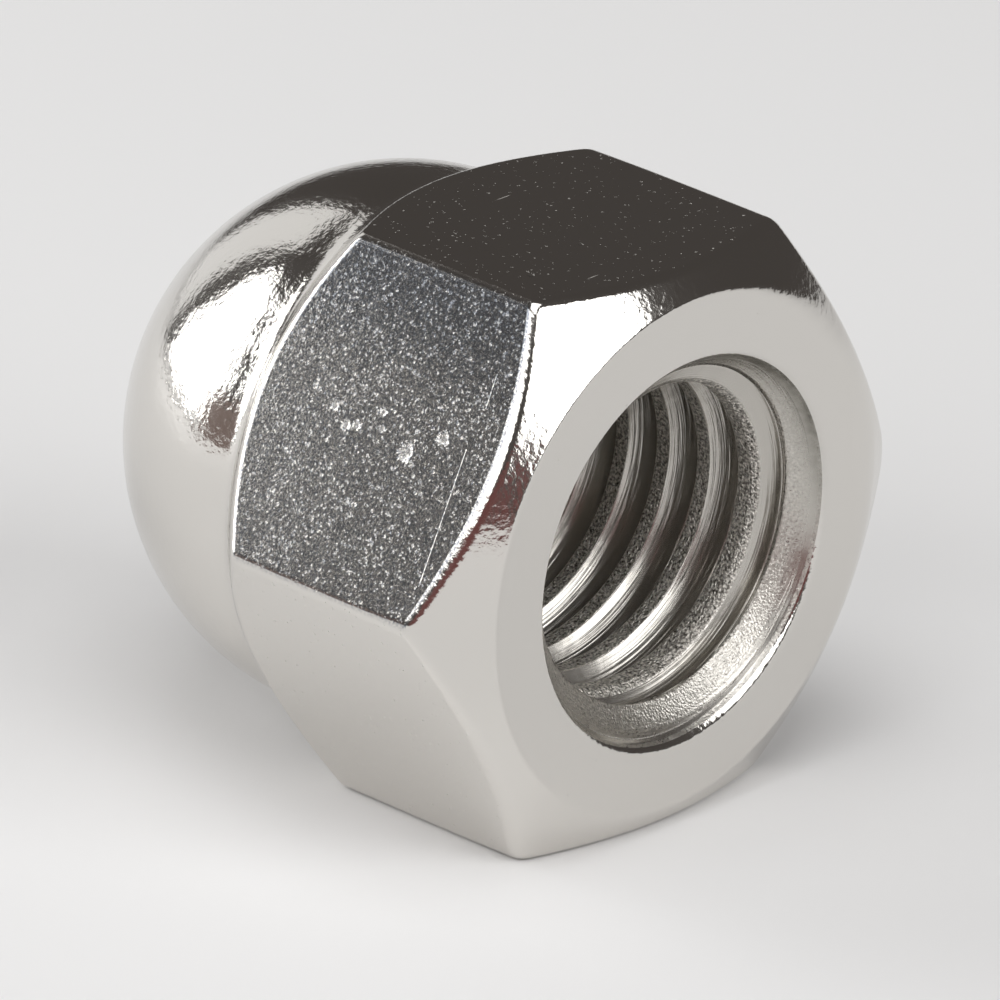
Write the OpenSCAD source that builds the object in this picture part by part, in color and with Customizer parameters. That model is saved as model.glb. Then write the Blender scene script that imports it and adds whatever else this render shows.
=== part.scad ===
// Hexagon cap nut, domed, with a blind right-hand thread, in millimetres.
// It lies on one flat: +Z is up and the thread axis is Y. The origin is the
// centre of the bearing face, the thread opens towards -Y and the dome points
// to +Y.

/* [Thread] */
// Nominal thread diameter
thread_d = 12; // [8:0.5:13]
// Pitch of the thread
thread_pitch = 1.75; // [0.75:0.25:2]
// What the tap drill adds to the basic minor diameter
drill_allow = 0.3; // [0:0.05:0.5]
// Depth of the hole at full diameter, from the bearing face
bore_depth = 14; // [8:0.5:15]
// Point angle of the drill that made the hole, in degrees
drill_point = 118; // [90:1:140]

/* [Countersink] */
// How far the countersink reaches past the thread's radius
csk_margin = 0.5; // [0.1:0.05:1]
// Full angle of the countersink, in degrees
csk_angle = 90; // [60:5:120]

/* [Hexagon] */
// Width across flats
across_flats = 19; // [17:0.1:24]
// Height of the flats at their middle, from the bearing face
flat_height = 10.6; // [8:0.1:14]
// How much is turned off each sharp corner
corner_trim = 0.06; // [0.05:0.01:0.6]
// How far the edge of the bearing face lies inside the flats
face_inset = 0.8; // [0.2:0.1:1.5]
// Slope of the front chamfer from the bearing face, in degrees
front_slope = 35; // [15:1:40]
// Slope of the back chamfer from the plane of the bearing face, in degrees
back_slope = 45; // [20:1:50]
// Radius between the bearing face and the front chamfer
face_edge_r = 0.4; // [0.1:0.1:0.8]

/* [Dome] */
// Diameter of the dome
dome_d = 18; // [15:0.1:21.6]
// Straight collar between the back chamfer and the round of the dome
collar_h = 0.9; // [0.6:0.1:4]
// Radius of the neck between the back chamfer and the collar
neck_r = 1; // [0.2:0.1:1.2]

/* [Hidden] */
$fn = 96;
// A basic minor diameter is the nominal one less 1.0825 pitches.
minor_share = 1.0825;
minor_r = (thread_d - minor_share * thread_pitch + drill_allow) / 2;
csk_r = thread_d / 2 + csk_margin;
csk_depth = (csk_r - minor_r) / tan(csk_angle / 2);
point_depth = minor_r / tan(drill_point / 2);
flat_r = across_flats / 2;
sharp_r = flat_r / cos(30);
corner_r = sharp_r - corner_trim;
face_r = flat_r - face_inset;
dome_r = dome_d / 2;
neck_z = back_z(dome_r);
dome_z = neck_z + collar_h;
nut_height = dome_z + dome_r;
// Overshoot of a cutter, so that no two faces coincide.
over = 0.5;

// Height of the front chamfer and of the back chamfer at a radius r
function front_z(r) = (r - face_r) * tan(front_slope);
function back_z(r) = flat_height - (r - flat_r) * tan(back_slope);

// Length from the corner of two lines to where a radius touches them, when
// they turn by the given angle
function touch(radius, turn) = radius * tan(turn / 2);

// Half section of the turned outline: face, chamfers, neck and dome
module turned_section() {
    edge_touch = touch(face_edge_r, front_slope);
    neck_touch = touch(neck_r, 90 - back_slope);
    neck_centre = [dome_r + neck_r, neck_z + neck_touch];
    // Face, front chamfer, corners, back chamfer and neck, all straight
    polygon([
        [0, 0],
        [face_r - edge_touch, 0],
        [face_r + edge_touch * cos(front_slope), edge_touch * sin(front_slope)],
        [corner_r, front_z(corner_r)],
        [corner_r, back_z(corner_r)],
        [dome_r, neck_z],
        [dome_r, dome_z],
        [0, dome_z]]);
    // Rounded edge of the bearing face
    translate([face_r - edge_touch, face_edge_r]) circle(r = face_edge_r);
    // Hollow radius of the neck
    difference() {
        polygon([
            [dome_r - over, neck_z],
            [dome_r, neck_z],
            [dome_r + neck_touch * cos(back_slope), neck_z - neck_touch * sin(back_slope)],
            neck_centre,
            [dome_r, neck_z + neck_touch],
            [dome_r - over, neck_z + neck_touch]]);
        translate(neck_centre) circle(r = neck_r);
    }
    // Dome, one quarter of a circle on the axis
    intersection() {
        translate([0, dome_z]) circle(r = dome_r);
        translate([0, dome_z - over]) square([dome_r, dome_r + over]);
    }
}

// Blind hole: countersink, straight bore at the minor diameter, drill point
module threaded_hole() {
    translate([0, 0, -over]) cylinder(r = minor_r, h = bore_depth + over);
    translate([0, 0, bore_depth]) cylinder(r1 = minor_r, r2 = 0, h = point_depth);
    csk_over = over * tan(csk_angle / 2);
    translate([0, 0, -over])
        cylinder(r1 = csk_r + csk_over, r2 = minor_r, h = csk_depth + over);
}

// Hexagon bar with two corners on X, so that a flat lies underneath, and
// round stock past the neck, so that the dome stays round at any diameter
module bar_stock() {
    cylinder(r = sharp_r, h = nut_height, $fn = 6);
    translate([0, 0, neck_z]) cylinder(r = dome_r + 2 * over, h = nut_height);
}

// The nut is turned along Z, then laid down with its axis along Y
module cap_nut() {
    color([0.78, 0.78, 0.76])
    rotate([-90, 0, 0])
    difference() {
        intersection() {
            bar_stock();
            rotate_extrude() turned_section();
        }
        threaded_hole();
    }
}

cap_nut();
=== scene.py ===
"""A domed cap nut with a right-hand internal thread, lying on one of its flats on a pale floor."""

import math

import bmesh
import bpy
import numpy as np
from mathutils import Matrix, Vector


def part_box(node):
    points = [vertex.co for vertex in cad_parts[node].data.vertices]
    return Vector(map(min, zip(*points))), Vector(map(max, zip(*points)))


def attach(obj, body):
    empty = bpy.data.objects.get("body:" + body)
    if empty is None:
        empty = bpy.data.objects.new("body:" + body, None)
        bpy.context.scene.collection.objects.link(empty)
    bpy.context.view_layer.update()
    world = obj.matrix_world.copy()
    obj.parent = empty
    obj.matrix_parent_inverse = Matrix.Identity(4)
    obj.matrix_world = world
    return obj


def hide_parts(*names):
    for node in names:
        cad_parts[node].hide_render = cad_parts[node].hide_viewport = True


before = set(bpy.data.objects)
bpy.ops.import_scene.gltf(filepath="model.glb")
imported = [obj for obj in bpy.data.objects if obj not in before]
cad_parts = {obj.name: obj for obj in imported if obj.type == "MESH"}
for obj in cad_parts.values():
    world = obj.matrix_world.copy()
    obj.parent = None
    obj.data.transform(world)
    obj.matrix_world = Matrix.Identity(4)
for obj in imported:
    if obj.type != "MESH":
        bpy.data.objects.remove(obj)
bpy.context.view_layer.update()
MM = 0.001

# ---------------------------------------------------------------------------------------------
# The outside of the nut: bearing face, chamfers, six flats, neck and dome.
# The real nut is cold-formed stainless steel, turned at both ends and then tumbled bright, so
# every edge is slightly rounded. The corners that the die filled least are the roundest.
# ---------------------------------------------------------------------------------------------
low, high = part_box("cap_nut")
flat_r = -low.z
nut_height = high.y
flat_height = 10.6 * MM
face_r = 8.7 * MM
front_rise = math.tan(math.radians(35))
back_slope = math.radians(45)
dome_r = 9.0 * MM
dome_y = nut_height - dome_r
neck_y = flat_height - (dome_r - flat_r) * math.tan(back_slope)
# The wall of the countersink: its radius falls by the steepness times the depth, and by the
# curve times the depth squared.
csk_r = 6.54 * MM
csk_steep = 0.55
csk_curve = 0.33 / MM
# Roundings of the edges. The lip of the countersink is rounder on one side.
csk_lip_r = 0.22 * MM
csk_lip_swell = 0.22 * MM
swell_at = math.radians(-65)
face_edge_r = 0.22 * MM
soft_edge_r = 3.0 * MM
front_edge_r = 0.60 * MM
back_edge_r = 0.45 * MM
neck_r = 1.0 * MM
# Roundings of the six corners at mid height, at the front and at the back, in order from the one
# at +X, anticlockwise as seen from the front
corner_r = np.array([0.42, 0.75, 0.45, 0.42, 0.50, 0.50]) * MM
front_corner_r = np.array([3.50, 0.85, 0.46, 0.95, 1.05, 0.75]) * MM
back_corner_r = np.array([0.60, 1.20, 0.60, 0.60, 0.60, 0.60]) * MM
soft_corner_y = 4.5 * MM
# The front was turned a little out of true: the countersink and the face lie off the thread's
# axis, and the chamfer is deeper on one side and shallower over one flat. The back leans too.
off_centre = 0.15 * MM
chamfer_lean = 0.11
lean_towards = math.radians(75)
shallow = 0.20
shallow_at = math.radians(18)
shallow_width = math.radians(30)
back_lean = 0.16 * MM

# Columns run round the axis, the same in each sixth: even across a corner, and closer together
# at both edges of a flat than at its middle.
corner_half = 2.7
corner_columns = np.linspace(-corner_half, corner_half, 20, endpoint=False)
flat_share = (1 - np.cos(np.linspace(0, math.pi, 27)[:-1])) / 2
flat_columns = corner_half + flat_share * (60 - 2 * corner_half)
sixth = np.concatenate([corner_columns, flat_columns])
column_angle = np.radians((60 * np.arange(6)[:, None] + sixth[None, :]).ravel())
columns = len(column_angle)


def hexagon_radius(angle, rounding):
    """Distance from the axis to the hexagon at an angle: the flat's distance over the cosine of the
    angle to the flat's middle, and near a corner the far side of the circle that rounds it."""
    off_corner = np.abs((angle + math.pi / 6) % (math.pi / 3) - math.pi / 6)
    straight = flat_r / np.cos(math.pi / 6 - off_corner)
    centre = (flat_r - rounding) / math.cos(math.pi / 6)
    reach = np.maximum(rounding**2 - (centre * np.sin(off_corner)) ** 2, 0)
    rounded = centre * np.cos(off_corner) + np.sqrt(reach)
    touch = np.arctan2(rounding / 2, centre + rounding * math.cos(math.pi / 6))
    return np.where(off_corner < touch, rounded, straight)


def corner_rounding(y):
    """Rounding of the nearest corner at a height: its radius at mid height, with a smooth change to
    its radius at the front and at the back."""
    nearest = np.round(column_angle / (math.pi / 3)).astype(int) % 6
    to_front = np.clip((soft_corner_y - y) / soft_corner_y, 0, 1) ** 2
    to_back = np.clip((y - flat_height) / soft_corner_y + 1, 0, 1) ** 2
    middle = corner_r[nearest]
    front_change = (front_corner_r[nearest] - middle) * to_front
    back_change = (back_corner_r[nearest] - middle) * to_back
    return middle + front_change + back_change


def section_point(r, y):
    """The same point of the section, (distance from the axis, height), for every column."""
    return np.stack([np.broadcast_to(r, columns), np.broadcast_to(y, columns)], -1).astype(float)


def section_line(start, end, rows):
    """Rows of points between two section points of every column, closer together at both ends."""
    share = (1 - np.cos(np.linspace(0, math.pi, rows + 2)[1:-1])) / 2
    return start + share[:, None, None] * (end - start)


def round_off(before, corner, after, radius, steps):
    """Points of the arc that rounds a corner of a section, for every column at once: the arc touches
    both sides at the radius over the tangent of half the angle between them, and is swept in equal
    angles."""
    one = (before - corner) / np.linalg.norm(before - corner, axis=-1, keepdims=True)
    two = (after - corner) / np.linalg.norm(after - corner, axis=-1, keepdims=True)
    inside = np.arccos(np.clip((one * two).sum(-1), -1, 1))
    middle = (one + two) / np.linalg.norm(one + two, axis=-1, keepdims=True)
    centre = corner + middle * (radius / np.sin(inside / 2))[:, None]
    start = corner + one * (radius / np.tan(inside / 2))[:, None] - centre
    end = corner + two * (radius / np.tan(inside / 2))[:, None] - centre
    turn = (math.pi - inside)[:, None]
    share = np.linspace(0, 1, steps)[:, None, None]
    return centre + (np.sin((1 - share) * turn) * start + np.sin(share * turn) * end) / np.sin(turn)


from_shallow = (column_angle - shallow_at + math.pi) % (2 * math.pi) - math.pi
rise = front_rise + chamfer_lean * np.cos(column_angle - lean_towards)
rise = rise - shallow * np.exp(-(from_shallow / shallow_width) ** 2)
slope = np.arctan(rise)
front_touch = front_edge_r * np.tan((math.pi / 2 - slope) / 2)
back_touch = back_edge_r * math.tan(back_slope / 2)
turned_out = off_centre * np.cos(column_angle)
leaning = back_lean * np.sin(column_angle)
# The corners' rounding changes with height, so the heights where the flats end are found in
# steps, from a first guess.
flat_start_y, flat_end_y = 1.0 * MM, 9.5 * MM
for _ in range(4):
    front_r = hexagon_radius(column_angle, corner_rounding(flat_start_y))
    back_r = hexagon_radius(column_angle, corner_rounding(flat_end_y))
    front_y = (front_r - face_r - turned_out) * rise
    back_y = flat_height + leaning - (back_r - flat_r) * math.tan(back_slope)
    flat_start_y = front_y + front_touch
    flat_end_y = back_y - back_touch

rim_r = csk_r + turned_out
csk_inside = section_point(rim_r - csk_steep * MM, 1.0 * MM)
csk_rim = section_point(rim_r, 0)
face_edge = section_point(face_r + turned_out, 0)
front_edge = section_point(front_r, front_y)
back_edge = section_point(back_r, back_y)
neck = section_point(dome_r, neck_y + leaning)
dome_foot = section_point(dome_r, dome_y)

lip_r = csk_lip_r + csk_lip_swell * np.clip(np.cos(column_angle - swell_at), 0, 1)
lip_round = round_off(csk_inside, csk_rim, face_edge, lip_r, 9)
# The soft edge of the face ends before the rounding of the front edge begins.
chamfer_length = (front_r - face_r - turned_out) / np.cos(slope)
longest_touch = 0.85 * (chamfer_length - front_touch)
on_right = np.exp(-(from_shallow / (1.3 * shallow_width)) ** 2)
edge_r = face_edge_r + (soft_edge_r - face_edge_r) * on_right
edge_r = np.minimum(edge_r, longest_touch / np.tan(slope / 2))
face_round = round_off(csk_rim, face_edge, front_edge, edge_r, 8)
front_round = round_off(face_edge, front_edge, front_edge + [0, 1], front_edge_r, 11)
back_round = round_off(back_edge - [0, 1], back_edge, neck, back_edge_r, 9)
neck_round = round_off(back_edge, neck, dome_foot, neck_r, 6)
flat_rows = section_line(front_round[-1], back_round[0], 34)
flat_rows[..., 0] = hexagon_radius(column_angle, corner_rounding(flat_rows[..., 1]))
dome_angle = np.linspace(0, math.pi / 2, 46)[:-1]
dome_rows = np.stack([
    section_point(dome_r * math.cos(angle), dome_y + dome_r * math.sin(angle)) for angle in dome_angle])

# From the rim of the countersink outwards and up to the dome's top, with the skin of each row
outside = [
    ("hole", lip_round[:3]),
    ("turned", lip_round[3:]),
    ("face", section_line(lip_round[-1], face_round[0], 8)),
    ("turned", face_round),
    ("turned", section_line(face_round[-1], front_round[0], 6)),
    ("turned", front_round[:-3]),
    ("flat", front_round[-3:]),
    ("flat", flat_rows),
    ("flat", back_round[:3]),
    ("turned", back_round[3:]),
    ("turned", section_line(back_round[-1], neck_round[0], 4)),
    ("turned", neck_round),
    ("turned", dome_rows)]
outside_rows = np.concatenate([rows for _, rows in outside])
outside_skin = np.concatenate([[skin] * len(rows) for skin, rows in outside])

FLOAT, VECTOR = "NodeSocketFloat", "NodeSocketVector"


def new_group(name, inputs, outputs):
    """A shader node group, its input node and its output node. Inputs are given as (name, kind,
    default) and outputs as names of numbers."""
    group = bpy.data.node_groups.new(name, "ShaderNodeTree")
    for label, kind, default in inputs:
        socket = group.interface.new_socket(label, in_out="INPUT", socket_type=kind)
        if default is not None:
            socket.default_value = default
    for label in outputs:
        group.interface.new_socket(label, in_out="OUTPUT", socket_type=FLOAT)
    return group, group.nodes.new("NodeGroupInput"), group.nodes.new("NodeGroupOutput")


def plug_in(tree, node, values):
    """Gives a node's inputs, in their order, numbers or other nodes' sockets."""
    for socket, value in zip(node.inputs, values):
        if isinstance(value, bpy.types.NodeSocket):
            tree.links.new(value, socket)
        else:
            socket.default_value = value


def math_node(tree, operation, *values, clamp=False):
    """The result of a Math node whose inputs are numbers or other nodes' sockets."""
    node = tree.nodes.new("ShaderNodeMath")
    node.operation = operation
    node.use_clamp = clamp
    plug_in(tree, node, values)
    return node.outputs[0]


def vector_node(tree, operation, *values):
    """The result of a Vector Math node whose inputs are triples or other nodes' sockets."""
    node = tree.nodes.new("ShaderNodeVectorMath")
    node.operation = operation
    plug_in(tree, node, values)
    return node.outputs["Value"] if operation in ("DOT_PRODUCT", "DISTANCE") else node.outputs[0]


def scaled_by(tree, vector, factor):
    """A vector times a number, either of which may be another node's socket."""
    node = tree.nodes.new("ShaderNodeVectorMath")
    node.operation = "SCALE"
    tree.links.new(vector, node.inputs[0])
    if isinstance(factor, bpy.types.NodeSocket):
        tree.links.new(factor, node.inputs["Scale"])
    else:
        node.inputs["Scale"].default_value = factor
    return node.outputs[0]


def ramp(tree, value, zero_at, one_at):
    """Changes evenly from 0 to 1 while a value goes from one number to another."""
    length = one_at - zero_at
    return math_node(tree, "MULTIPLY_ADD", value, 1 / length, -zero_at / length, clamp=True)


def add_up(tree, *heights):
    """Sum of any number of sockets."""
    total = heights[0]
    for height in heights[1:]:
        total = math_node(tree, "ADD", total, height)
    return total


# Unevenness: noise of a given size and depth about zero
uneven, given, result = new_group(
    "unevenness",
    [("Vector", VECTOR, None), ("Size", FLOAT, 1.0), ("Depth", FLOAT, 0.01), ("Detail", FLOAT, 2.0)],
    ["Height"])
noise = uneven.nodes.new("ShaderNodeTexNoise")
noise.inputs["Roughness"].default_value = 0.5
uneven.links.new(given.outputs["Vector"], noise.inputs["Vector"])
uneven.links.new(math_node(uneven, "DIVIDE", 1.0, given.outputs["Size"]), noise.inputs["Scale"])
uneven.links.new(given.outputs["Detail"], noise.inputs["Detail"])
centred = math_node(uneven, "SUBTRACT", noise.outputs["Fac"], 0.5)
uneven.links.new(math_node(uneven, "MULTIPLY", centred, given.outputs["Depth"]), result.inputs["Height"])

# Pits: hollows in some of the cells of a loose lattice, with outlines made ragged by a noise
pits, given, result = new_group(
    "pits",
    [("Vector", VECTOR, None), ("Spacing", FLOAT, 0.5), ("Share", FLOAT, 0.5), ("Radius", FLOAT, 0.3),
     ("Depth", FLOAT, 0.01), ("Ragged", FLOAT, 0.3)],
    ["Height", "Mask"])
in_cells = scaled_by(pits, given.outputs["Vector"], math_node(pits, "DIVIDE", 1.0, given.outputs["Spacing"]))
wander = pits.nodes.new("ShaderNodeTexNoise")
wander.inputs["Scale"].default_value = 3.5
wander.inputs["Detail"].default_value = 1.0
pits.links.new(in_cells, wander.inputs["Vector"])
raggedness = pits.nodes.new("ShaderNodeCombineXYZ")
for socket in raggedness.inputs:
    pits.links.new(given.outputs["Ragged"], socket)
shifted = vector_node(pits, "MULTIPLY_ADD", wander.outputs["Color"], raggedness.outputs[0], in_cells)
cells = pits.nodes.new("ShaderNodeTexVoronoi")
cells.inputs["Scale"].default_value = 1.0
pits.links.new(shifted, cells.inputs["Vector"])
chance = pits.nodes.new("ShaderNodeSeparateColor")
pits.links.new(cells.outputs["Color"], chance.inputs["Color"])
present = math_node(pits, "LESS_THAN", chance.outputs[0], given.outputs["Share"])
size_share = math_node(pits, "MULTIPLY_ADD", chance.outputs[1], 0.7, 0.3)
size = math_node(pits, "MULTIPLY", given.outputs["Radius"], size_share)
outward = math_node(pits, "DIVIDE", cells.outputs["Distance"], size)
inward = math_node(pits, "SUBTRACT", 1.0, outward, clamp=True)
smooth = math_node(pits, "SMOOTH_MIN", math_node(pits, "MULTIPLY", inward, 2.0), 1.0, 0.4)
mask = math_node(pits, "MULTIPLY", smooth, present)
pits.links.new(mask, result.inputs["Mask"])
sunk = math_node(pits, "MULTIPLY", given.outputs["Depth"], -1.0)
pits.links.new(math_node(pits, "MULTIPLY", mask, sunk), result.inputs["Height"])

# Dent: one hollow at a given place, with an outline made ragged by a noise from outside
dent, given, result = new_group(
    "dent",
    [("Vector", VECTOR, None), ("Place", VECTOR, None), ("Radius", FLOAT, 0.3), ("Depth", FLOAT, 0.02),
     ("Ragged", FLOAT, 0.5)],
    ["Height", "Mask"])
distance = vector_node(dent, "DISTANCE", given.outputs["Vector"], given.outputs["Place"])
wobble = math_node(dent, "MULTIPLY_ADD", given.outputs["Ragged"], 1.8, 0.1)
uneven_radius = math_node(dent, "MULTIPLY", given.outputs["Radius"], wobble)
outward = math_node(dent, "DIVIDE", distance, uneven_radius)
inward = math_node(dent, "SUBTRACT", 1.0, outward, clamp=True)
mask = math_node(dent, "SMOOTH_MIN", math_node(dent, "MULTIPLY", inward, 2.5), 1.0, 0.4)
dent.links.new(mask, result.inputs["Mask"])
sunk = math_node(dent, "MULTIPLY", given.outputs["Depth"], -1.0)
dent.links.new(math_node(dent, "MULTIPLY", mask, sunk), result.inputs["Height"])

# Scratch: a groove of a given width from one place to another, broken up by a noise from outside
scratch, given, result = new_group(
    "scratch",
    [("Vector", VECTOR, None), ("Start", VECTOR, None), ("End", VECTOR, None), ("Width", FLOAT, 0.04),
     ("Depth", FLOAT, 0.01), ("Ragged", FLOAT, 0.5)],
    ["Height", "Mask"])
run = vector_node(scratch, "SUBTRACT", given.outputs["End"], given.outputs["Start"])
reach = vector_node(scratch, "SUBTRACT", given.outputs["Vector"], given.outputs["Start"])
run_squared = vector_node(scratch, "DOT_PRODUCT", run, run)
along = vector_node(scratch, "DOT_PRODUCT", reach, run)
along = math_node(scratch, "DIVIDE", along, run_squared, clamp=True)
off_line = vector_node(scratch, "DISTANCE", reach, scaled_by(scratch, run, along))
width_share = math_node(scratch, "MULTIPLY_ADD", given.outputs["Ragged"], 3.0, -0.6)
width = math_node(scratch, "MULTIPLY", given.outputs["Width"], width_share)
narrowest = 0.002
outward = math_node(scratch, "DIVIDE", off_line, math_node(scratch, "MAXIMUM", width, narrowest))
mask = math_node(scratch, "SUBTRACT", 1.0, outward, clamp=True)
scratch.links.new(mask, result.inputs["Mask"])
sunk = math_node(scratch, "MULTIPLY", given.outputs["Depth"], -1.0)
scratch.links.new(math_node(scratch, "MULTIPLY", mask, sunk), result.inputs["Height"])

steel = (0.72, 0.70, 0.665, 1)


def start_metal(name, roughness):
    """A metallic material with its Principled shader's constants set, its tree and its shader."""
    material = bpy.data.materials.new(name)
    material.use_nodes = True
    shader = material.node_tree.nodes["Principled BSDF"]
    shader.inputs["Metallic"].default_value = 1.0
    shader.inputs["Roughness"].default_value = roughness
    shader.inputs["Base Color"].default_value = steel
    return material, material.node_tree, shader


def in_millimetres(tree):
    """Object coordinates in millimetres."""
    coordinates = tree.nodes.new("ShaderNodeTexCoord")
    return scaled_by(tree, coordinates.outputs["Object"], 1 / MM)


def use(tree, group, vector, **values):
    """A group placed in a tree with its own values."""
    node = tree.nodes.new("ShaderNodeGroup")
    node.node_tree = group
    tree.links.new(vector, node.inputs["Vector"])
    for label, value in values.items():
        if isinstance(value, bpy.types.NodeSocket):
            tree.links.new(value, node.inputs[label])
        else:
            node.inputs[label].default_value = value
    return node


def mix_colours(tree, share, one, two):
    """A mix of two colours, each given as a colour or as another node's socket."""
    mix = tree.nodes.new("ShaderNodeMix")
    mix.data_type = "RGBA"
    tree.links.new(share, mix.inputs["Factor"])
    for label, colour in (("A", one), ("B", two)):
        if isinstance(colour, bpy.types.NodeSocket):
            tree.links.new(colour, mix.inputs[label])
        else:
            mix.inputs[label].default_value = colour
    return mix.outputs["Result"]


def heights_of(*layers):
    """The height sockets of several groups placed in a tree."""
    return [layer.outputs["Height"] for layer in layers]


def on_flat(facing, behind_face, off_middle):
    """A place on a flat in millimetres, from the angle that the flat faces, the distance behind the
    bearing face, and the distance off the flat's middle line, upwards or towards +X."""
    out_x, out_z = math.cos(facing), math.sin(facing)
    out = flat_r / MM
    return out * out_x + off_middle * out_z, behind_face, out * out_z - off_middle * out_x


def bump_into(tree, shader, height):
    """A Bump node that takes a height in millimetres."""
    bump = tree.nodes.new("ShaderNodeBump")
    bump.inputs["Distance"].default_value = MM
    tree.links.new(height, bump.inputs["Height"])
    tree.links.new(bump.outputs["Normal"], shader.inputs["Normal"])


# The turned surfaces: bright, with the soft unevenness that tumbling leaves
turned_metal, tree, shader = start_metal("turned_and_tumbled", 0.125)
place = in_millimetres(tree)
waves = use(tree, uneven, place, Size=0.9, Depth=0.014, Detail=1.0)
peel = use(tree, uneven, place, Size=0.22, Depth=0.0130, Detail=2.0)
grain = use(tree, uneven, place, Size=0.07, Depth=0.0016, Detail=2.0)
bump_into(tree, shader, add_up(tree, *heights_of(waves, peel, grain)))

# The flats: drawn, then pitted by tumbling, and most weathered on the upper left one
flat_metal, tree, shader = start_metal("drawn_flats", 0.14)
place = in_millimetres(tree)
left_normal = (-0.866, 0, 0.5)
up_the_left = (0.5, 0, 0.866)
out_of_left = vector_node(tree, "DOT_PRODUCT", place, left_normal)
up_left = vector_node(tree, "DOT_PRODUCT", place, up_the_left)
on_left = ramp(tree, out_of_left, 9.2, 9.45)
inside_left = ramp(tree, math_node(tree, "ABSOLUTE", up_left), 5.5, 5.3)
weathered = math_node(tree, "MULTIPLY", on_left, inside_left)
upper = math_node(tree, "MULTIPLY", ramp(tree, up_left, 1.5, 4.5), weathered)
patches = use(tree, uneven, place, Size=1.6, Depth=2.4, Detail=2.0)
more_weathered = math_node(tree, "MULTIPLY_ADD", weathered, 0.85, 0.40)
patchy = math_node(tree, "ADD", patches.outputs["Height"], more_weathered)
waves = use(tree, uneven, place, Size=0.9, Depth=0.006, Detail=2.0)
grain = use(tree, uneven, place, Size=0.085, Depth=0.0015, Detail=2.0)
fine = use(tree, pits, place, Spacing=0.17, Share=0.50, Radius=0.42, Depth=0.0025, Ragged=0.9)
# Lines left by the drawing die are pits on coordinates that are squeezed across the drawing.
drawn = tree.nodes.new("ShaderNodeMapping")
drawn.inputs["Rotation"].default_value = (0.3, 0.5, 0.6)
drawn.inputs["Scale"].default_value = (0.35, 5.0, 5.0)
tree.links.new(place, drawn.inputs["Vector"])
lines = use(tree, pits, drawn.outputs[0], Spacing=1.4, Share=0.26, Radius=0.16, Depth=0.008)
specks = use(tree, pits, place, Spacing=0.20, Share=0.55, Radius=0.21, Depth=0.006, Ragged=0.9)
# One noise makes all the dents' outlines and the scratches' widths ragged.
ragged = tree.nodes.new("ShaderNodeTexNoise")
ragged.inputs["Scale"].default_value = 5.5
tree.links.new(place, ragged.inputs["Vector"])
ragged = ragged.outputs["Fac"]
marks = []
left_flat, top_flat = math.radians(150), math.radians(90)
# Dents, eight on the upper left flat and two on top, each with its distance behind the bearing face,
# its distance off the flat's middle line, and its radius
for facing, behind_face, off_middle, radius in (
        (left_flat, 4.3, -0.3, 0.30), (left_flat, 3.1, 0.5, 0.24), (left_flat, 6.9, -0.2, 0.20),
        (left_flat, 5.7, 0.6, 0.14), (left_flat, 6.5, -0.1, 0.17), (left_flat, 5.5, 0.1, 0.15),
        (left_flat, 7.6, 0.2, 0.16), (left_flat, 8.6, 0.6, 0.14),
        (top_flat, 4.1, -0.9, 0.10), (top_flat, 3.4, -3.9, 0.14)):
    where = on_flat(facing, behind_face, off_middle)
    marks.append(use(tree, dent, place, Place=where, Radius=radius, Depth=0.020, Ragged=ragged))
# Three scratches on the upper left flat, each with its two ends, placed as a dent is, and its width
for start, end, across in (
        ((2.1, 3.0), (2.0, 1.9), 0.02), ((2.1, 0.5), (1.8, -4.0), 0.017),
        ((6.9, 1.5), (5.2, 1.6), 0.015)):
    marks.append(use(
        tree, scratch, place, Start=on_flat(left_flat, *start), End=on_flat(left_flat, *end),
        Width=across, Depth=0.002, Ragged=ragged))
marked = add_up(tree, *[mark.outputs["Mask"] for mark in marks])
unmarked = math_node(tree, "MULTIPLY_ADD", marked, -0.30, 1.0, clamp=True)
weathered_height = math_node(tree, "MULTIPLY", add_up(tree, *heights_of(grain, fine)), patchy)
skin_height = add_up(tree, weathered_height, *heights_of(waves, lines, specks))
skin_height = math_node(tree, "MULTIPLY", skin_height, unmarked)
bump_into(tree, shader, add_up(tree, skin_height, *heights_of(*marks)))
# What makes the flats duller: pits, lines, marks and a speckle where they are weathered
speckle = use(tree, uneven, place, Size=0.10, Depth=5.0, Detail=2.0)
speckle = math_node(tree, "SUBTRACT", speckle.outputs["Height"], 0.25, clamp=True)
speckle = math_node(tree, "MULTIPLY", speckle, patchy)
duller = [math_node(tree, "MULTIPLY", mask, share) for mask, share in (
    (fine.outputs["Mask"], 0.05), (lines.outputs["Mask"], 0.60), (specks.outputs["Mask"], 0.60),
    (speckle, 0.14), (weathered, 0.02), (marked, 0.08))]
tree.links.new(math_node(tree, "ADD", add_up(tree, *duller), 0.13), shader.inputs["Roughness"])
# The weathered flat is mottled with a darker, colder grey, most of all in its upper part.
mottle = use(tree, uneven, place, Size=0.08, Depth=3.0, Detail=2.0)
mottle_share = math_node(tree, "MULTIPLY_ADD", upper, 0.45, 0.45)
mottle = math_node(tree, "ADD", mottle.outputs["Height"], mottle_share, clamp=True)
mottle = math_node(tree, "MULTIPLY", mottle, unmarked)
cold_grey = (0.24, 0.255, 0.28, 1)
tone = mix_colours(tree, math_node(tree, "MULTIPLY", weathered, mottle), steel, cold_grey)
tree.links.new(tone, shader.inputs["Base Color"])

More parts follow.
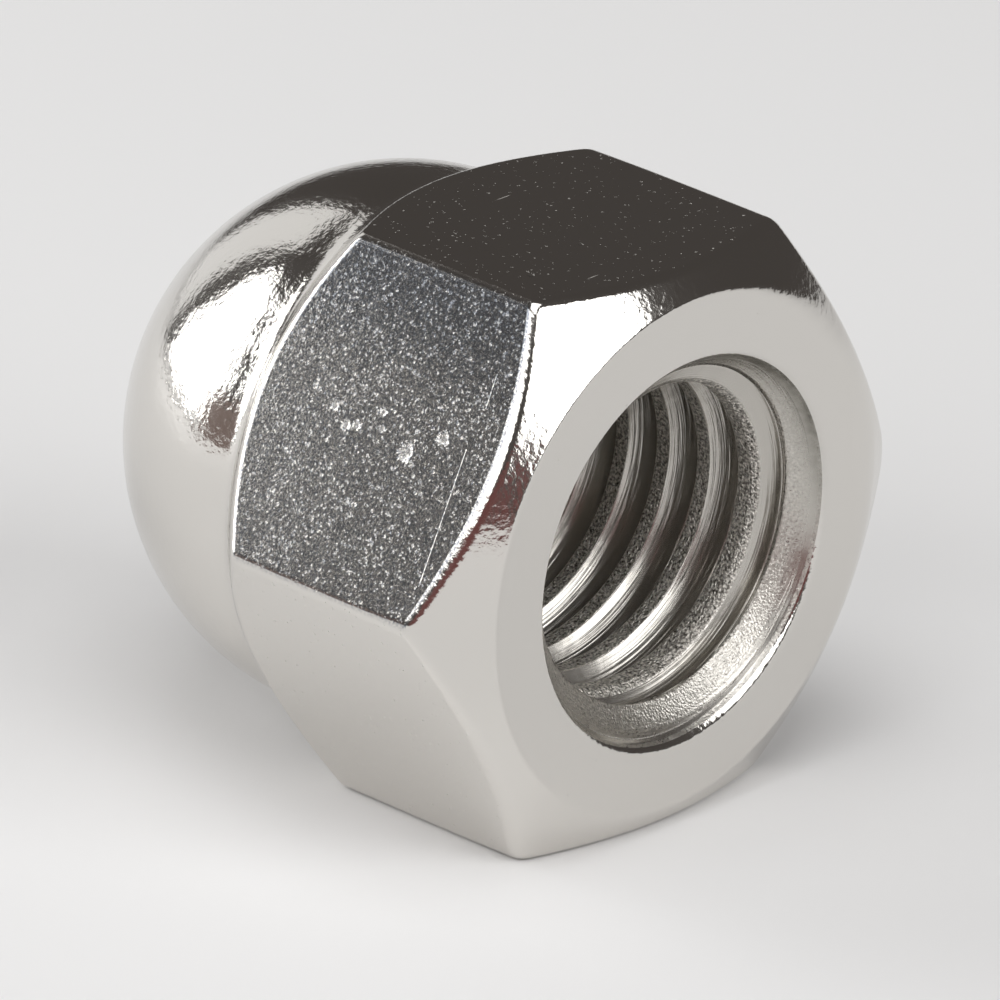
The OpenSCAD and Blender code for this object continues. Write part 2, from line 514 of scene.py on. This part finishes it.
# The bearing face: faced off smooth, with a few small pits
face_metal, tree, shader = start_metal("bearing_face", 0.22)
place = in_millimetres(tree)
waves = use(tree, uneven, place, Size=0.8, Depth=0.006, Detail=2.0)
grain = use(tree, uneven, place, Size=0.12, Depth=0.002, Detail=2.0)
specks = use(tree, pits, place, Spacing=0.6, Share=0.25, Radius=0.12, Depth=0.010)
bump_into(tree, shader, add_up(tree, *heights_of(waves, grain, specks)))

# ---------------------------------------------------------------------------------------------
# The tapped hole: countersink, right-hand thread, straight bore and drill point.
# The thread is one helix cut by a tap. Its crests keep the grainy wall of the formed hole, its
# flanks are smooth with lines from the tap, and it runs out before the bottom.
# ---------------------------------------------------------------------------------------------
pitch = 1.75 * MM
minor_r = 5.203 * MM
major_r = 6.1 * MM
crest_half = 0.27 * MM
root_half = 0.06 * MM
crest_y = 2.14 * MM
thread_top = 0.40 * MM
thread_end = 12.9 * MM
run_out = 2.2 * MM
bore_depth = 14.0 * MM
drill_point = math.radians(118)
drill_tip = bore_depth + minor_r / math.tan(drill_point / 2)
# The first turn's crest has a second, sloping facet towards the mouth, which fades out inwards.
facet_half = 0.50 * MM
facet_r = 5.34 * MM
facet_end = 3.1 * MM
facet_fade = 0.6 * MM
edge_softness = 0.022 * MM

# One pitch of the thread from the middle of a crest to the middle of the next: where the section
# turns, and rows that are closer together next to each turn
break_y = np.array([
    0, crest_half, pitch / 2 - root_half, pitch / 2 + root_half, pitch - facet_half,
    pitch - crest_half, pitch])
rows_between = [4, 7, 4, 5, 4, 4]
rows_in_pitch = np.concatenate([
    start + (1 - np.cos(np.linspace(0, math.pi, count + 1)[:-1])) / 2 * (end - start)
    for start, end, count in zip(break_y[:-1], break_y[1:], rows_between)])
turn_rows = len(rows_in_pitch)
flank_r = np.interp(pitch - facet_half, [pitch / 2 + root_half, pitch - crest_half], [major_r, minor_r])


def thread_radius(along, facet):
    """Radius of the thread at a distance along the axis from the middle of a crest: flat at the
    minor radius, a straight flank, flat at the major radius, and the other flank, bent in towards
    the facet by a share from 0 to 1."""
    up_to_root = [minor_r, minor_r, major_r, major_r]
    plain = np.interp(along % pitch, break_y, up_to_root + [flank_r, minor_r, minor_r])
    bent = np.interp(along % pitch, break_y, up_to_root + [facet_r, minor_r, minor_r])
    return plain + (bent - plain) * facet


# The rows of the helix drop by one pitch in a turn, and are clipped at both ends of the thread.
turns = math.ceil((thread_end - thread_top) / pitch) + 2
helix = (rows_in_pitch[None, :] + pitch * np.arange(turns)[:, None]).ravel()
spare_share = 0.1
first_crest = crest_y - pitch * math.ceil((crest_y - thread_top) / pitch + spare_share)
lag = pitch * column_angle[None, :] / (2 * math.pi)
helix_y = np.clip(first_crest + helix[:, None] - lag, thread_top, thread_end)
from_crest = helix_y - crest_y + lag
next_crest_y = helix_y + (-from_crest) % pitch
facet = np.clip((facet_end - next_crest_y) / facet_fade, 0, 1)
cut_r = (thread_radius(from_crest - edge_softness, facet) + 2 * thread_radius(from_crest, facet)
         + thread_radius(from_crest + edge_softness, facet)) / 4
fade = np.clip((thread_end - helix_y) / run_out, 0, 1)
fade = fade * fade * (3 - 2 * fade)
thread_r = minor_r + (cut_r - minor_r) * fade
cone_r = rim_r[None, :] - csk_steep * helix_y - csk_curve * helix_y**2
helix_rows = np.stack([np.maximum(thread_r, cone_r), helix_y], -1)
bore_rows = np.stack([section_point(minor_r, y) for y in np.linspace(thread_end, bore_depth, 6)[1:]])
drill_rows = np.stack([
    section_point(minor_r * share, bore_depth + (1 - share) * (drill_tip - bore_depth))
    for share in np.linspace(1, 0, 9)[1:-1]])
lip_y = lip_round[0, :, 1]
csk_y = lip_y + np.linspace(0, 1, 6)[1:-1, None] * (thread_top - lip_y)
csk_rows = np.stack([rim_r - csk_steep * csk_y - csk_curve * csk_y**2, csk_y], -1)

# Where the wall of the helix is grainy: on crests, on the facet and low down in the countersink
grain_edge = 0.05 * MM
to_crest = np.minimum(from_crest % pitch, (-from_crest) % pitch)
before_crest = (-from_crest) % pitch
on_crest = np.clip((crest_half - to_crest) / grain_edge, 0, 1)
on_facet = np.clip((facet_half + 0.03 * MM - before_crest) / grain_edge, 0, 1) * facet
low_side = 0.15 + 0.85 * (0.5 - 0.5 * np.sin(column_angle))
on_cone = np.clip((helix_y - 0.35 * MM) / (0.4 * MM), 0, 1) * 0.35 * low_side
helix_grain = np.where(cone_r > thread_r, on_cone, np.maximum(on_crest, on_facet))
lip_grain = 0.2



def attribute_value(tree, name):
    """The value of one of the mesh's own number attributes."""
    reader = tree.nodes.new("ShaderNodeAttribute")
    reader.attribute_name = name
    return reader.outputs["Fac"]


# The wall of the hole: grainy where its attribute says so, elsewhere smooth with the tap's lines
# round it, which follow the distance to the nearest crest, and darkened just inside the rim by painted shade
hole_metal, tree, shader = start_metal("tapped_hole", 0.26)
place = in_millimetres(tree)
grainy_here = attribute_value(tree, "grainy")
crest_gap_here = attribute_value(tree, "crest_gap")
painted_shade_here = attribute_value(tree, "painted_shade")
grain = use(tree, uneven, place, Size=0.08, Depth=0.13, Detail=2.0)
rough_grain = math_node(tree, "MULTIPLY", grain.outputs["Height"], grainy_here)
parts = tree.nodes.new("ShaderNodeSeparateXYZ")
tree.links.new(place, parts.inputs[0])
across = tree.nodes.new("ShaderNodeCombineXYZ")
tree.links.new(crest_gap_here, across.inputs["X"])
for letter in "YZ":
    tree.links.new(math_node(tree, "MULTIPLY", parts.outputs[letter], 0.02), across.inputs[letter])
lines = use(tree, uneven, across.outputs[0], Size=0.05, Depth=0.022, Detail=2.0)
smooth_here = math_node(tree, "SUBTRACT", 1.0, grainy_here)
tool_lines = math_node(tree, "MULTIPLY", lines.outputs["Height"], smooth_here)
soft = use(tree, uneven, place, Size=0.5, Depth=0.01, Detail=1.0)
bump_into(tree, shader, add_up(tree, rough_grain, tool_lines, soft.outputs["Height"]))
speckle = use(tree, uneven, place, Size=0.09, Depth=4.5, Detail=2.0)
speckle = math_node(tree, "MULTIPLY", speckle.outputs["Height"], grainy_here)
dull = math_node(tree, "MULTIPLY_ADD", grainy_here, 0.13, 0.27)
tree.links.new(math_node(tree, "MULTIPLY_ADD", speckle, 0.18, dull), shader.inputs["Roughness"])
dark_grain, light_grain = (0.26, 0.25, 0.225, 1), (0.90, 0.865, 0.81, 1)
# Painted shade: a blotchy brown laid into the colour just inside the rim, where the countersink is in shade
painted_shade_brown = (0.19, 0.185, 0.16, 1)
shade = mix_colours(tree, math_node(tree, "ADD", speckle, 0.5, clamp=True), dark_grain, light_grain)
blotches = use(tree, uneven, place, Size=0.35, Depth=0.8, Detail=2.0)
amount = math_node(tree, "ADD", blotches.outputs["Height"], 0.75)
amount = math_node(tree, "MULTIPLY", painted_shade_here, amount)
tree.links.new(mix_colours(tree, amount, shade, painted_shade_brown), shader.inputs["Base Color"])

# ---------------------------------------------------------------------------------------------
# The whole nut, as one closed skin from the drill's point out to the rim and up to the dome's top.
# It is one piece of steel, so the rows of the hole and of the outside are joined into one mesh.
# ---------------------------------------------------------------------------------------------


def ring_faces(first, rows, shift=0):
    """Quads between neighbouring rows of a closed grid, given its first vertex number. With a shift,
    the seam joins each row to the one that many rows on, as a helix needs."""
    row, column = np.meshgrid(np.arange(rows - 1), np.arange(columns), indexing="ij")
    step = np.where(column == columns - 1, shift, 0)
    near = first + row * columns + column
    far = first + np.clip(row + step, 0, rows - 1) * columns + (column + 1) % columns
    far_next = first + np.clip(row + 1 + step, 0, rows - 1) * columns + (column + 1) % columns
    return np.stack([near, far, far_next, near + columns], -1).reshape(-1, 4)


inner = np.concatenate([drill_rows[::-1], bore_rows[::-1]])
outer = np.concatenate([csk_rows[::-1], outside_rows])
grid = np.concatenate([inner, helix_rows[::-1], outer])
r, y = grid[..., 0], grid[..., 1]
points = np.stack([r * np.cos(column_angle), y, r * np.sin(column_angle)], -1).reshape(-1, 3)
vertices = np.concatenate([points, [[0, drill_tip, 0], [0, nut_height, 0]]])
tip, top = len(points), len(points) + 1
helix_start = len(inner)
outer_start = helix_start + len(helix_rows)
lip_start = outer_start + len(csk_rows)
around = np.arange(columns)
after = (around + 1) % columns
band = np.stack([around, after, columns + after, columns + around], -1)
quads = np.concatenate([
    ring_faces(0, len(inner)),
    band + (helix_start - 1) * columns,
    ring_faces(helix_start * columns, len(helix_rows), turn_rows),
    band + (outer_start - 1) * columns,
    ring_faces(outer_start * columns, len(outer))])
last_row = (len(grid) - 1) * columns
tip_fan = np.stack([np.full(columns, tip), after, around], -1)
top_fan = np.stack([last_row + around, last_row + after, np.full(columns, top)], -1)

skins = {"turned": turned_metal, "flat": flat_metal, "face": face_metal, "hole": hole_metal}
skin_names = list(skins)
row_skin = np.concatenate([["hole"] * lip_start, outside_skin])
vertex_skin = np.repeat([skin_names.index(skin) for skin in row_skin], columns)
vertex_skin = np.append(vertex_skin, [skin_names.index("hole"), skin_names.index("turned")])
face_skin = np.concatenate([
    vertex_skin[quads[:, 3]], vertex_skin[tip_fan[:, 0]], vertex_skin[top_fan[:, 0]]])

grainy = np.zeros(grid.shape[:2])
grainy[helix_start:outer_start] = helix_grain[::-1]
grainy[lip_start:lip_start + 3] = lip_grain
crest_gap = np.zeros(grid.shape[:2])
crest_gap[helix_start:outer_start] = to_crest[::-1] / MM
# Painted shade: the colour is darkened just inside the rim, on the upper right of the countersink.
painted_shade_at = math.radians(58)
painted_shade_y = 0.10 * MM
painted_shade_width = 0.42 * MM
painted_shade_side = np.clip(np.cos(column_angle - painted_shade_at) * 1.6 - 0.4, 0, 1)
painted_shade = painted_shade_side * np.exp(-((grid[..., 1] - painted_shade_y) / painted_shade_width) ** 2)
painted_shade[:helix_start] = 0
painted_shade[lip_start + 6:] = 0

nut_mesh = bpy.data.meshes.new("nut_body")
nut_mesh.from_pydata(vertices.tolist(), [], quads.tolist() + tip_fan.tolist() + top_fan.tolist())
nut_mesh.polygons.foreach_set("material_index", face_skin.astype(np.int32))
for name, values in (("grainy", grainy), ("crest_gap", crest_gap), ("painted_shade", painted_shade)):
    attribute = nut_mesh.attributes.new(name, "FLOAT", "POINT")
    attribute.data.foreach_set("value", np.append(values.ravel(), [0, 0]).astype(np.float32))
nut = bpy.data.objects.new("nut_body", nut_mesh)
bpy.context.scene.collection.objects.link(nut)

# Rows that are clipped at the ends of the thread lie on each other, and are merged.
bm = bmesh.new()
bm.from_mesh(nut_mesh)
bmesh.ops.remove_doubles(bm, verts=bm.verts, dist=0.0005 * MM)
bmesh.ops.recalc_face_normals(bm, faces=bm.faces)
bm.to_mesh(nut_mesh)
bm.free()
nut_mesh.shade_smooth()
for metal in skins.values():
    nut_mesh.materials.append(metal)

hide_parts("cap_nut")
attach(nut, "root")

# ---------------------------------------------------------------------------------------------
# The studio: a pale paper floor, with soft boxes and cards round the nut.
# The metal mirrors all of them, so each fills the window of the sky that the nut shows lit.
# ---------------------------------------------------------------------------------------------
bpy.ops.mesh.primitive_plane_add(size=4, location=(0, 0, low.z))
floor = bpy.context.object
floor.name = "floor"
paper = bpy.data.materials.new("floor_paper")
paper.use_nodes = True
paper_shader = paper.node_tree.nodes["Principled BSDF"]
paper_shader.inputs["Base Color"].default_value = (0.82, 0.82, 0.82, 1)
paper_shader.inputs["Roughness"].default_value = 0.9
paper_shader.inputs["Specular IOR Level"].default_value = 0.2
floor.data.materials.append(paper)


def direction(azimuth, elevation):
    """Unit vector at an azimuth from +Y towards +X and an elevation, both in degrees."""
    a, e = math.radians(azimuth), math.radians(elevation)
    return np.array([math.sin(a) * math.cos(e), math.cos(a) * math.cos(e), math.sin(e)])


def look_matrix(place, towards, roll=0.0):
    """Matrix of something at a place whose -Z points along a direction, with its X level, and
    then rolled about that direction."""
    back = -np.asarray(towards) / np.linalg.norm(towards)
    right = np.cross([0, 0, 1], back)
    right /= np.linalg.norm(right)
    up = np.cross(back, right)
    matrix = np.eye(4)
    matrix[:3, 0] = right * math.cos(roll) + up * math.sin(roll)
    matrix[:3, 1] = up * math.cos(roll) - right * math.sin(roll)
    matrix[:3, 2] = back
    matrix[:3, 3] = place
    return Matrix(matrix.tolist())


def soft_box(name, left, right, bottom, top, distance, radiance):
    """Area light that fills a window of the sky, given in degrees, as seen from the nut. Its width
    narrows with the cosine of its elevation, as a window's does, except straight overhead."""
    azimuth, elevation = (left + right) / 2, (bottom + top) / 2
    narrowing = math.cos(math.radians(elevation)) if elevation < 80 else 1
    lamp = bpy.data.lights.new(name, "AREA")
    lamp.shape = "RECTANGLE"
    lamp.size = 2 * distance * math.tan(math.radians((right - left) / 2)) * narrowing
    lamp.size_y = 2 * distance * math.tan(math.radians((top - bottom) / 2))
    lamp.energy = math.pi * radiance * lamp.size * lamp.size_y
    place = direction(azimuth, elevation) * distance
    box = bpy.data.objects.new(name, lamp)
    box.matrix_world = look_matrix(place, -place)
    bpy.context.scene.collection.objects.link(box)
    return box


soft_box("back_left_top", -33, -10, 34, 41, 0.32, 3.2)
soft_box("back_left_middle", -39.5, -9, 23, 34, 0.32, 3.2)
soft_box("back_left_box", -44, -8, 13, 23, 0.32, 3.2)
soft_box("back_left_low", -38, -4, 1.5, 13, 0.32, 3.2)
brown_card = soft_box("brown_card", -56, -38, -1, 13, 0.34, 0.15)
brown_card.data.color = (1.0, 0.70, 0.62)
soft_box("left_box", -128, -57, 23, 46, 0.7, 2.6)
soft_box("front_right_box", 149, 195, 10, 52, 0.7, 3.2)
soft_box("grey_card", 4, 25, -0.5, 45, 0.9, 0.8)
soft_box("top_box", -175, -65, 54, 98, 0.7, 2.25)
red_card = soft_box("red_card", -162, -100, -2, 21, 0.6, 0.10)
red_card.data.color = (1.0, 0.06, 0.06)

world = bpy.data.worlds.new("dark_studio")
bpy.context.scene.world = world
world.use_nodes = True
world.node_tree.nodes["Background"].inputs["Color"].default_value = (0.068, 0.061, 0.057, 1)
world.node_tree.nodes["Background"].inputs["Strength"].default_value = 1.0

# ---------------------------------------------------------------------------------------------
# The camera: about half a metre off with a long lens, aimed near the middle of the nut
# ---------------------------------------------------------------------------------------------
view_azimuth = -132.11
view_elevation = 23.45
view_roll = math.radians(2.6)
camera_distance = 0.5005
axis_point = np.array([0, 8 * MM, 0])
aim_right, aim_down = 0.14 * MM, 0.70 * MM
towards = -direction(view_azimuth, view_elevation)
right_of_view = np.cross(towards, [0, 0, 1])
right_of_view /= np.linalg.norm(right_of_view)
up_of_view = np.cross(right_of_view, towards)
aim = axis_point + right_of_view * aim_right - up_of_view * aim_down
camera_data = bpy.data.cameras.new("camera")
camera_data.lens = 568
camera_data.sensor_width = 36
camera = bpy.data.objects.new("camera", camera_data)
camera.matrix_world = look_matrix(aim - towards * camera_distance, towards, view_roll)
bpy.context.scene.collection.objects.link(camera)
bpy.context.scene.camera = camera
bpy.context.scene.view_settings.view_transform = "Standard"
